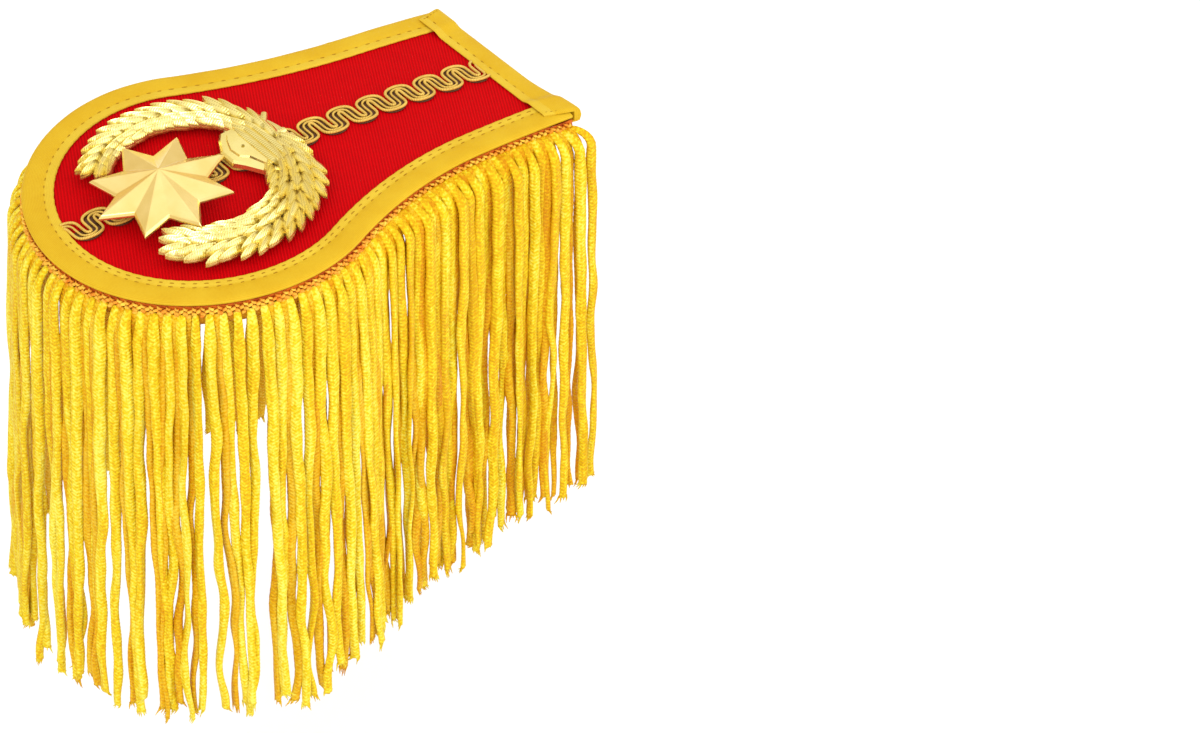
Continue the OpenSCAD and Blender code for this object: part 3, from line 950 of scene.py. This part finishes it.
class EPAULETTE_OT_fringe(bpy.types.Operator):
    """Add the hanging knitted cords with their frayed ends"""
    bl_idname = "epaulette.fringe"
    bl_label = "Fringe cords"

    def execute(self, context):
        fringe = context.scene.epaulette_fringe
        board = board_shape()
        rng = random.Random(fringe.seed)
        count = round(2 * board.half / fringe.pitch)
        step = 2 * board.half / count
        shifts = self.clumps(count, fringe, rng)
        front = knitted_cord("knitted_cord", fringe.cord_color, fringe)
        # The row behind gets a darker copy of the cord colour: painted shade
        behind = knitted_cord("knitted_cord_behind_shaded", tint(fringe.cord_color, 0.92, 0.70, 0.36),
                              fringe)
        # Name, first and last cord, place in the pitch, layer, ring spacing and sides
        third = count // 3
        parts = [("near", 0, third, 0.5, 0.0, FRONT_GRAIN),
                 ("round", third, 2 * count // 3 + 1, 0.5, 0.0, FRONT_GRAIN),
                 ("far", 2 * count // 3 + 1, count, 0.5, 0.0, FRONT_GRAIN),
                 ("behind", 0, count - 1, 1.0, BEHIND_LAYER, BEHIND_GRAIN)]
        for part, first, last, spot, layer, (grain, sides) in parts:
            angles = 2 * math.pi * np.arange(sides) / sides
            cos = np.sign(np.cos(angles)) * np.abs(np.cos(angles)) ** 0.6
            sin = np.sign(np.sin(angles)) * np.abs(np.sin(angles)) ** 0.8
            shape = Shape()
            for i in range(first, last):
                s = (i + spot) * step
                x = board.edge(s)[0]
                # The row behind is thin round the front, where light shows through
                if layer and rng.random() > 0.64 + 0.36 * smoothstep((x + 5 * MM) / (25 * MM)):
                    continue
                centres, across, face, half_w, half_t, run, tangents = cord_rings(
                    board, fringe, s, self.length(board, fringe, s, x, rng), rng,
                    self.top(board, x), shifts[i], layer + (0.6 if i % 2 else -0.6) * MM, grain)
                rings = (centres[:, None] + across[:, None] * (half_w[:, None] * cos)[..., None]
                         + face[:, None] * (half_t[:, None] * sin)[..., None])
                uvs = np.stack([half_w[:, None] * cos / MM,
                                np.broadcast_to(run[:, None], rings.shape[:2]) / MM], axis=-1)
                shape.sweep([[Vector(p) for p in ring] for ring in rings],
                            [[tuple(uv) for uv in ring] for ring in uvs])
                self.fray(shape, Vector(centres[-1]), Vector(across[-1]), Vector(tangents[-1]),
                          half_w[-1], rng)
            shape.piece(f"fringe_{part}", behind if layer else front, "gold_fringe",
                        *(["fringe"] if part == "round" else []))
        return {"FINISHED"}

    def top(self, board, x):
        """Height of a cord's head over the board's underside, lower under the end tape."""
        tape = bpy.context.scene.epaulette_tape
        top = -2 * tape.gap - tape.thickness - (1.15 - 0.65 * beside_neck(x)) * MM
        return top - (tape.gap + tape.thickness) * (0.9 if board.end - tape.width < x else 0)

    def length(self, board, fringe, s, x, rng):
        """Ragged length of a cord, shorter at the square end and longer round the front."""
        length = (fringe.length - 1.0 * MM) * (1 + fringe.ragged * rng.uniform(-1.3, 1.0))
        length -= fringe.end_short * max(0.0, x) / board.end
        front = smoothstep(-board.on_edge(s, 0, 0).y / board.r) if x < 0 else 0
        return length + fringe.front_long * front

    def clumps(self, count, fringe, rng):
        """Sideways shift of each cord's end: a wander of its own, and drawn to a neighbour."""
        shifts = [rng.gauss(0, 0.45) * fringe.sway for _ in range(count)]
        i = 0
        while i < count - 1:
            if rng.random() < 0.45:
                pull = rng.uniform(0.9, 2.5) * MM
                shifts[i] += pull
                shifts[i + 1] -= pull
                i += 2
            else:
                i += 1
        return shifts

    def fray(self, shape, end, across, ahead, half_w, rng):
        """Loose wisps at a cord's end."""
        curl = Vector((rng.uniform(-1, 1), rng.uniform(-1, 1), 0)) * 1.1
        for k in range(WISPS):
            start = end + across * half_w * (k - 2.5) / 2.9 - ahead * 0.5 * MM
            reach = rng.uniform(0.9, 3.4) * MM
            away = across * rng.uniform(-0.35, 0.35) + ahead
            path = [start, start + away * reach * 0.5 + curl * 0.25 * MM,
                    start + away * reach + curl * MM]
            shape.tube(path, [0.34 * MM, 0.26 * MM, 0.07 * MM], 5, up=Vector((0.3, 0.9, 0.1)))


# ---- Braid

# How square the half circles are: the power of the sine that bows them
SCROLL_BOW = 0.45
# Half length, half width and radius of a scallop of the dark sheet of painted shade
GAP_SHADE_LONG, GAP_SHADE_WIDE, GAP_SHADE_RADIUS = 2.4 * MM, 3.4 * MM, 1.85 * MM
GAP_SHADE_PARTS = 16


class EPAULETTE_OT_braid(bpy.types.Operator):
    """Add the scroll braid: fine cords in nested half circles, one way and the other"""
    bl_idname = "epaulette.braid"
    bl_label = "Scroll braid"

    def execute(self, context):
        sizes, tape = context.scene.epaulette_braid, context.scene.epaulette_tape
        board = board_shape()
        inset = tape.width + tape.gap
        pitch = sizes.pitch
        low, high = -board.r + inset, board.end - inset

        def lay(path, x, y, lift, margin, end_margin):
            """Adds a point, drifted off the middle, where it lies between the tapes."""
            if (-math.sqrt(max((board.r - inset - margin) ** 2 - y * y, 0)) < x
                    < high - end_margin):
                y += sizes.drift * ((high - x) / (high - low)) ** 2
                path.append(board.point(x, y, board.thickness + tape.gap + lift))

        cords = Shape()
        for k in range(sizes.cords):
            up = pitch / 4 + (k - (sizes.cords - 1) / 2) * sizes.cord_gap
            edge = k in (0, sizes.cords - 1)
            path = []
            fan = low
            while fan - pitch < high:
                for centre, radius, way in ((fan, up, 1), (fan + pitch / 2, pitch / 2 - up, -1)):
                    parts = max(12, int(20 * radius / (2.2 * MM)))
                    for j in range(parts):
                        a = math.pi * (1 - j / parts)
                        wide = way * (0.42 * sizes.width / 2 + 0.58 * radius)
                        lift = 0.48 * MM + 0.22 * MM * math.sin(a) + (0.1 * MM if edge else 0)
                        lay(path, centre + radius * math.cos(a), wide * math.sin(a) ** SCROLL_BOW,
                            lift, 0, 0)
                fan += pitch
            cords.tube(path, sizes.cord_radius * (1.15 if edge else 0.92), 8)
        cords.piece("braid_cords", gimp_cord("gimp_cord", sizes.color), "gimp_braid",
                    "centre_braid")

        # Dark sheet under the cords: painted shade that shows between them
        gap_shade = Shape()
        fan, way = low, 1
        while fan < high + pitch / 4:
            path = []
            for j in range(GAP_SHADE_PARTS + 1):
                a = math.pi * (1 - j / GAP_SHADE_PARTS)
                lay(path, fan + GAP_SHADE_LONG * math.cos(a),
                    way * GAP_SHADE_WIDE * math.sin(a) ** SCROLL_BOW, 0.16 * MM, 2 * MM, 1.9 * MM)
            if len(path) > 3:
                gap_shade.tube(path, GAP_SHADE_RADIUS, 8, flat=0.09)
            fan, way = fan + pitch / 2, -way
        gap_shade.piece("braid_gap_shade", gimp_cord("gimp_gap_shade", tint(sizes.color, 0.12, 0.05, 0.03)),
                   "gimp_braid")
        return {"FINISHED"}


# ---- Crest

# Rows of leaves: radial place in mm, turn outwards in degrees, size, lift in mm
FAR_ROWS = [(-2.5, -17, 0.84, 0.0), (3.4, 16, 0.96, 0.0), (-1.0, -9, 0.90, 0.6),
            (1.5, 9, 0.96, 0.7)]
NEAR_ROWS = [(-5.6, -27, 0.84, 0.0), (4.1, 24, 0.96, 0.0), (-3.3, -18, 0.90, 0.5),
             (1.9, 14, 0.96, 0.7), (-0.8, -5, 0.92, 0.9)]
# Side, rows, place of inner and outer rows beside the knot as shares of their own, backing's
# width inwards and outwards, shortening of the sweep
BRANCHES = ((1, FAR_ROWS, 1.6, 0.05, 0.78, 1.0, math.radians(4)),
            (-1, NEAR_ROWS, 1.1, 0.38, 1.45, 1.14, 0.0))
WREATH_SEED = 5
LEAF_COLUMNS, LEAF_ROWS, BACKING_STEPS = 10, 9, 70
FIRST_LEAF = math.radians(-3)
# Height of the wreath's feet, and their place as a share of the branch
FOOT_HEIGHT = 1.2 * MM
FOOT_PLACE = 0.55
# The knot's middle and outline, its stems as place and reach, and its stem ends, in mm
KNOT_MIDDLE = (21.5, -0.6)
KNOT_OUTLINE = [(14.0, -0.4), (14.1, 4.8), (16.7, 9.5), (18.6, 11.6), (24.0, 11.5), (28.4, 8.5),
                (29.2, 0.0), (28.6, -9.0), (24.5, -11.5), (20.1, -10.6), (16.4, -3.7)]
STEMS = ((22.6, -10.2, 9.6), (25.0, -10.8, 10.0), (27.3, -9.6, 9.0))
STEM_ENDS = (((27.5, 4.5), (33.6, 11.2)), ((27.5, -4.5), (34.2, -7.8)),
             ((28.0, 1.5), (33.8, 2.0)))
# Distance of the star's posts from the middle, and where they and the feet start over the cloth
POST_SPACING = 7.5 * MM
CLEARANCE = 0.15 * MM


def leaf_patch(length, width, height, curl):
    """Rows of (point, UV) of one pointed leaf along +X with a raised midrib and an underside."""
    patch = []
    for i, t in enumerate(steps(0, 1, LEAF_COLUMNS)):
        wide = width / 2 * math.sin(math.pi * (0.10 + 0.90 * t) ** 0.8) ** 0.7 if t < 1 else 0
        wide = max(wide, 0.03 * MM)
        top = []
        for v in steps(-1, 1, LEAF_ROWS):
            body = 1 - abs(v) ** 2.2
            rib = 0.20 * math.exp(-(v / 0.2) ** 2)
            notch = 1 - 0.10 * (i % 2) * abs(v) ** 3
            z = height * (0.1 + (0.78 * body + rib) * math.sin(math.pi * (0.2 + 0.75 * t)) ** 0.6)
            point = Vector((t * length - 0.22 * abs(v) * width * (1 - t), v * wide * notch,
                            z + curl * t * t))
            top.append((point, (v * wide / MM, t * length / MM)))
        under = [(Vector((p.x, p.y * 0.92, curl * t * t - 0.35 * height)), (0.0, 0.0))
                 for p, _ in top]
        patch.append(top + under[::-1])
    return patch


class EPAULETTE_OT_wreath(bpy.types.Operator):
    """Add the cast wreath: two leafy branches, backing and knot"""
    bl_idname = "epaulette.wreath"
    bl_label = "Wreath"

    def execute(self, context):
        sizes = context.scene.epaulette_crest
        board = board_shape()
        seat = board.seat(sizes.wreath_x)
        base = FOOT_HEIGHT + 2 * context.scene.epaulette_tape.gap
        shape = Shape()
        rng = random.Random(WREATH_SEED)
        for side, rows, inner_knot, outer_knot, inner, outer, shorter in BRANCHES:
            place = seat @ Matrix.Scale(side, 4, (0, 1, 0))
            sweep = sizes.sweep - shorter
            self.leaves(shape, place, sizes, base, side, sweep, rows, inner_knot, outer_knot, rng)
            self.backing(shape, place, sizes, base, side, sweep, inner, outer, inner_knot)
            r, foot = self.radius(sizes, FOOT_PLACE), sweep * FOOT_PLACE
            shape.post(seat, r * math.cos(foot), side * r * math.sin(foot),
                       (CLEARANCE, base + 0.2 * MM), 1.2 * MM)
        metal = cast_metal("cast_wreath", tint(sizes.color, 0.99, 1.09, 1.06), 0.18, 0.6)
        shape.piece("wreath_cast", metal, "cast_gold", "wreath", crisp=42)
        knot = Shape()
        self.knot(knot, seat, base, sizes)
        knot.piece("wreath_knot", metal, "cast_gold", crisp=10)
        return {"FINISHED"}

    def radius(self, sizes, along):
        return sizes.wreath_radius - sizes.tip_in * along ** 2

    def leaves(self, shape, place, sizes, base, side, sweep, rows, inner_knot, outer_knot, rng):
        """Leaves of one branch, smaller towards its tip and less even on the near side."""
        step = (sweep + math.radians(2) - FIRST_LEAF) / sizes.leaves
        for i in range(sizes.leaves):
            along = i / (sizes.leaves - 1)
            share = 1 - 0.22 * along ** 2.2
            near_knot = 1 - min(1, i / 5)
            for inwards, turn, size, lift in rows:
                if i == sizes.leaves - 1 and abs(turn) > 20:
                    turn *= 0.5
                a = FIRST_LEAF + (i + (0.5 if lift else 0.0)) * step
                inwards *= 1 + ((outer_knot if turn > 0 else inner_knot) - 1) * near_knot
                if side < 0:
                    inwards += rng.uniform(-0.4, 0.4)
                r = self.radius(sizes, along) + inwards * share * MM
                wobble = rng.uniform(-5, 4) * (1 if side > 0 else 1.7)
                level = (base + sizes.backing_thickness
                         + (lift - 0.25 + rng.uniform(-0.15, 0.15)) * MM)
                aim = math.radians(90 - turn * (1 - 0.4 * near_knot) + wobble)
                world = place @ (Matrix.Rotation(a, 4, "Z") @ Matrix.Translation((r, 0, level))
                                 @ Matrix.Rotation(aim, 4, "Z")
                                 @ Matrix.Rotation(math.radians(-4), 4, "Y"))
                patch = leaf_patch(sizes.leaf_length * size * (0.45 + 0.55 * share),
                                   sizes.leaf_width * size * rng.uniform(0.92, 1.08),
                                   sizes.leaf_height * rng.uniform(0.9, 1.1), 0.35 * MM)
                patch = [[(world @ p, uv) for p, uv in row] for row in patch]
                shape.skin(patch[::-1] if side < 0 else patch)

    def backing(self, shape, place, sizes, base, side, sweep, inner, outer, inner_knot):
        """Domed backing under the leaves, bevelled down at both edges."""
        rings = []
        for t in steps(0, 1, BACKING_STEPS):
            a = math.radians(-1) + t * (sweep + math.radians(1))
            half = sizes.backing_width / 2 * (1 - 0.26 * t ** 2.2)
            half *= 1 - 0.5 * smoothstep((t - 0.93) / 0.07)
            low = -half * inner * (1 + (inner_knot - 1) * max(0.0, 1 - 3.4 * t))
            high = half * outer
            section = [(low, 0), (low - 0.4 * MM, 0.5), (low + 0.2 * MM, 1.0),
                       (0.5 * low, 1.25), (0, 1.4), (0.5 * high, 1.25),
                       (high - 0.2 * MM, 1.0), (high + 0.4 * MM, 0.5), (high, 0)]
            rings.append([place @ (Matrix.Rotation(a, 4, "Z") @ Vector(
                (self.radius(sizes, t) + x, 0, base + z * sizes.backing_thickness)))
                for x, z in section])
        shape.sweep(rings[::-1] if side < 0 else rings)

    def knot(self, shape, seat, base, sizes):
        """Flat ribbon knot with bevelled edges and a raised border, a boss and stem ends."""
        t = sizes.backing_thickness + 1.9 * MM
        cx, cy = KNOT_MIDDLE

        def at(x, y, z):
            return seat @ Vector((x * MM, y * MM, z))

        def ring(inset, height):
            pulls = [(x, y, 1 - inset / math.hypot(x - cx, y - cy)) for x, y in KNOT_OUTLINE]
            return [at(cx + (x - cx) * pull, cy + (y - cy) * pull, base + height * t)
                    for x, y, pull in pulls]

        shape.sweep([ring(inset, height) for inset, height in (
            (-0.2, 0), (-0.2, 0.5), (0.5, 0.74), (2.3, 0.80), (2.7, 0.98), (3.4, 1.0),
            (5.0, 1.0))])
        shape.post(seat, 19.6 * MM, 2.2 * MM, [base + t + z * MM for z in (-0.1, 0.2, 0.3)],
                   [0.55 * MM, 0.5 * MM, 0.25 * MM])
        # Bundle of stems that runs across under the tie
        for x, low, high in STEMS:
            path = [at(x, y, base + 0.9 * t + 0.25 * MM * math.cos(y / 9))
                    for y in steps(low, high, 9)]
            shape.tube(path, [0.5 * MM] + [1.15 * MM] * 7 + [0.5 * MM], 10, flat=0.62)
        for (x0, y0), (x1, y1) in STEM_ENDS:
            path = [at(x0, y0, base + 1.3 * MM),
                    at((x0 + x1) / 2, (y0 + y1) / 2, base + 2.1 * MM),
                    at(x1, y1, base + 1.9 * MM)]
            shape.tube(path, [1.5 * MM, 1.25 * MM, 0.95 * MM], 8, flat=0.7)


class EPAULETTE_OT_star(bpy.types.Operator):
    """Add the pointed star with its ridges and hidden posts"""
    bl_idname = "epaulette.star"
    bl_label = "Star"

    def execute(self, context):
        sizes = context.scene.epaulette_crest
        seat = board_shape().seat(sizes.star_x)
        base = sizes.star_level
        place = (seat @ Matrix.Translation((0, 0, base))
                 @ Matrix.Rotation(-sizes.star_tilt, 4, "Y")
                 @ Matrix.Rotation(sizes.star_turn, 4, "Z"))
        n = 2 * sizes.points
        rim = []
        for i in range(n):
            a = i * math.pi / sizes.points
            r = sizes.star_radius * (1 if i % 2 == 0 else sizes.valley)
            rim.append((r * math.cos(a), r * math.sin(a)))
        verts = [Vector((0, 0, 0)), Vector((0, 0, sizes.rim + sizes.apex))]
        # Upright wall, then a bevel that catches the light
        for inset, height in ((0, 0), (0, 0.45), (1.0 * MM, 1)):
            size = 1 - inset / sizes.star_radius
            verts += [Vector((x * size, y * size, height * sizes.rim)) for x, y in rim]
        faces = [(0, 2 + (i + 1) % n, 2 + i) for i in range(n)]
        for row in (2, 2 + n):
            faces += [(row + i, row + (i + 1) % n, row + n + (i + 1) % n, row + n + i)
                      for i in range(n)]
        faces += [(2 + 2 * n + i, 2 + 2 * n + (i + 1) % n, 1) for i in range(n)]
        shape = Shape()
        shape.add([place @ v for v in verts], faces)
        metal = cast_metal("cast_star", sizes.color, 0.17, 0.25)
        obj = shape.piece("star_cast", metal, "cast_gold", "star", smooth=False)
        bevel = obj.modifiers.new("edges", "BEVEL")
        bevel.width = 0.16 * MM
        bevel.segments = 2
        bevel.limit_method = "ANGLE"
        bevel.angle_limit = math.radians(8)
        posts = Shape()
        for side in (1, -1):
            posts.post(seat, 0, side * POST_SPACING, (CLEARANCE, base + 0.6 * MM), 1.5 * MM, 16)
        posts.piece("star_posts", metal, "cast_gold", crisp=40)
        return {"FINISHED"}


class EPAULETTE_OT_pin(bpy.types.Operator):
    """Finish the hidden pin bar"""
    bl_idname = "epaulette.pin"
    bl_label = "Pin bar"

    def execute(self, context):
        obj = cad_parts["pin_bar"]
        obj.data.materials.clear()
        obj.data.materials.append(rough_surface("pin_steel", (0.62, 0.62, 0.63), 0.32, 900.0,
                                                0.00003, 0.5, metallic=1.0, specular=0.5))
        return {"FINISHED"}


# ---- Stage

PHOTO_SIZE = (1200, 733)
SENSOR = 36.0
FLOOR_REACH = 6.0
# The way to the studio's bright side, and the tint of its low side
BRIGHT_SIDE = (0.0, -0.35, 0.94)
WARM_LIGHT = (1.0, 0.86, 0.62)
# Name, place, aim, size and power
LIGHTS = (("key", (-0.9, -0.9, 1.1), (0, 0, 0), 0.8, 8),
          ("fill", (0.9, -1.0, 0.5), (0.03, 0, -0.05), 0.9, 4))


def add_camera(stage):
    """Camera that puts the board where the photograph has it, with no lens shift."""
    distance = stage.focal / stage.scale
    ce, se = math.cos(stage.elevation), math.sin(stage.elevation)
    ca, sa = math.cos(stage.azimuth), math.sin(stage.azimuth)
    back = Vector((sa * ce, -ca * ce, se))
    right = Vector((ca, sa, 0))
    up = back.cross(right)
    x = (stage.origin_u - PHOTO_SIZE[0] / 2) / stage.scale
    y = -(stage.origin_v - PHOTO_SIZE[1] / 2) / stage.scale
    aim = Vector((0, 0, stage.fit_height))
    camera = bpy.data.cameras.new("camera")
    camera.sensor_width = SENSOR
    camera.lens = stage.focal / PHOTO_SIZE[0] * SENSOR
    camera.clip_end = 20
    obj = bpy.data.objects.new("camera", camera)
    turn = Matrix((right, up, back)).transposed().to_4x4()
    obj.matrix_world = Matrix.Translation(aim - x * right - y * up + distance * back) @ turn
    bpy.context.scene.collection.objects.link(obj)
    bpy.context.scene.camera = obj


def add_light(name, place, aim, size, power):
    light = bpy.data.lights.new(name, "AREA")
    light.shape = "RECTANGLE"
    light.size = light.size_y = size
    light.energy = power
    obj = bpy.data.objects.new(name, light)
    obj.location = place
    obj.rotation_euler = (Vector(aim) - Vector(place)).to_track_quat("-Z", "Y").to_euler()
    bpy.context.scene.collection.objects.link(obj)


def studio_world(stage):
    """Bright overhead, dimmer low down and behind, so that polished metal shows its facets."""
    world = bpy.data.worlds.new("studio")
    world.use_nodes = True
    m = Nodes(world.node_tree)
    background = m.tree.nodes["Background"].inputs
    dot = m.new("ShaderNodeVectorMath")
    dot.operation = "DOT_PRODUCT"
    m.feed(dot.inputs[0], m.new("ShaderNodeTexCoord").outputs["Generated"])
    m.feed(dot.inputs[1], BRIGHT_SIDE)
    rise = dot.outputs["Value"]
    m.feed(background["Strength"], m.span(rise, -0.15, 0.95, stage.low_light, stage.top_light,
                                          "SMOOTHSTEP"))
    m.feed(background["Color"], m.mix(m.span(rise, -0.2, 0.6), WARM_LIGHT, (1, 1, 1)))
    return world


class EPAULETTE_OT_stage(bpy.types.Operator):
    """Add the floor, the soft lights and the camera"""
    bl_idname = "epaulette.stage"
    bl_label = "Stage"

    def execute(self, context):
        stage = context.scene.epaulette_stage
        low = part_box("fringe")[0][2] - stage.floor_drop
        corners = [(x * FLOOR_REACH, y * FLOOR_REACH, low)
                   for x, y in ((-1, -1), (1, -1), (1, 1), (-1, 1))]
        floor = rough_surface("pale_floor", (0.95, 0.97, 0.99), 0.8, 40.0, 0.0002, 0.05,
                              specular=0.1)
        obj = add_mesh("floor", corners, [(0, 1, 2, 3)], floor)
        context.scene.world = studio_world(stage)
        for light in LIGHTS:
            add_light(*light)
        add_camera(stage)
        context.scene.view_settings.view_transform = "Standard"
        return {"FINISHED"}


# ---- Add-on

class EPAULETTE_PT_panel(bpy.types.Panel):
    """Lists the epaulette's pieces"""
    bl_idname = "EPAULETTE_PT_panel"
    bl_label = "Epaulette"
    bl_space_type = "VIEW_3D"
    bl_region_type = "UI"
    bl_category = "Epaulette"

    def draw(self, context):
        for operator in OPERATORS:
            self.layout.operator(operator.bl_idname)
        for group in GROUPS:
            settings = getattr(context.scene, group)
            box = self.layout.box()
            for name in settings.bl_rna.properties.keys():
                if name not in ("rna_type", "name"):
                    box.prop(settings, name)


GROUPS = {
    "epaulette_board": BoardSizes,
    "epaulette_tape": TapeSizes,
    "epaulette_fringe": FringeSizes,
    "epaulette_braid": BraidSizes,
    "epaulette_crest": CrestSizes,
    "epaulette_stage": StageLook,
}
OPERATORS = [EPAULETTE_OT_stage, EPAULETTE_OT_cloth, EPAULETTE_OT_side_tape,
             EPAULETTE_OT_end_tape, EPAULETTE_OT_heading, EPAULETTE_OT_fringe,
             EPAULETTE_OT_braid, EPAULETTE_OT_wreath, EPAULETTE_OT_star, EPAULETTE_OT_pin]


def register():
    for cls in (*GROUPS.values(), *OPERATORS, EPAULETTE_PT_panel):
        bpy.utils.register_class(cls)
    for name, cls in GROUPS.items():
        setattr(bpy.types.Scene, name, PointerProperty(type=cls))


def unregister():
    for name in GROUPS:
        delattr(bpy.types.Scene, name)
    for cls in reversed((*GROUPS.values(), *OPERATORS, EPAULETTE_PT_panel)):
        bpy.utils.unregister_class(cls)


def main():
    register()
    bpy.ops.epaulette.stage()
    bpy.ops.epaulette.cloth()
    bpy.ops.epaulette.side_tape()
    bpy.ops.epaulette.end_tape()
    bpy.ops.epaulette.heading()
    bpy.ops.epaulette.fringe()
    bpy.ops.epaulette.braid()
    bpy.ops.epaulette.wreath()
    bpy.ops.epaulette.star()
    bpy.ops.epaulette.pin()


if __name__ == "__main__":
    main()
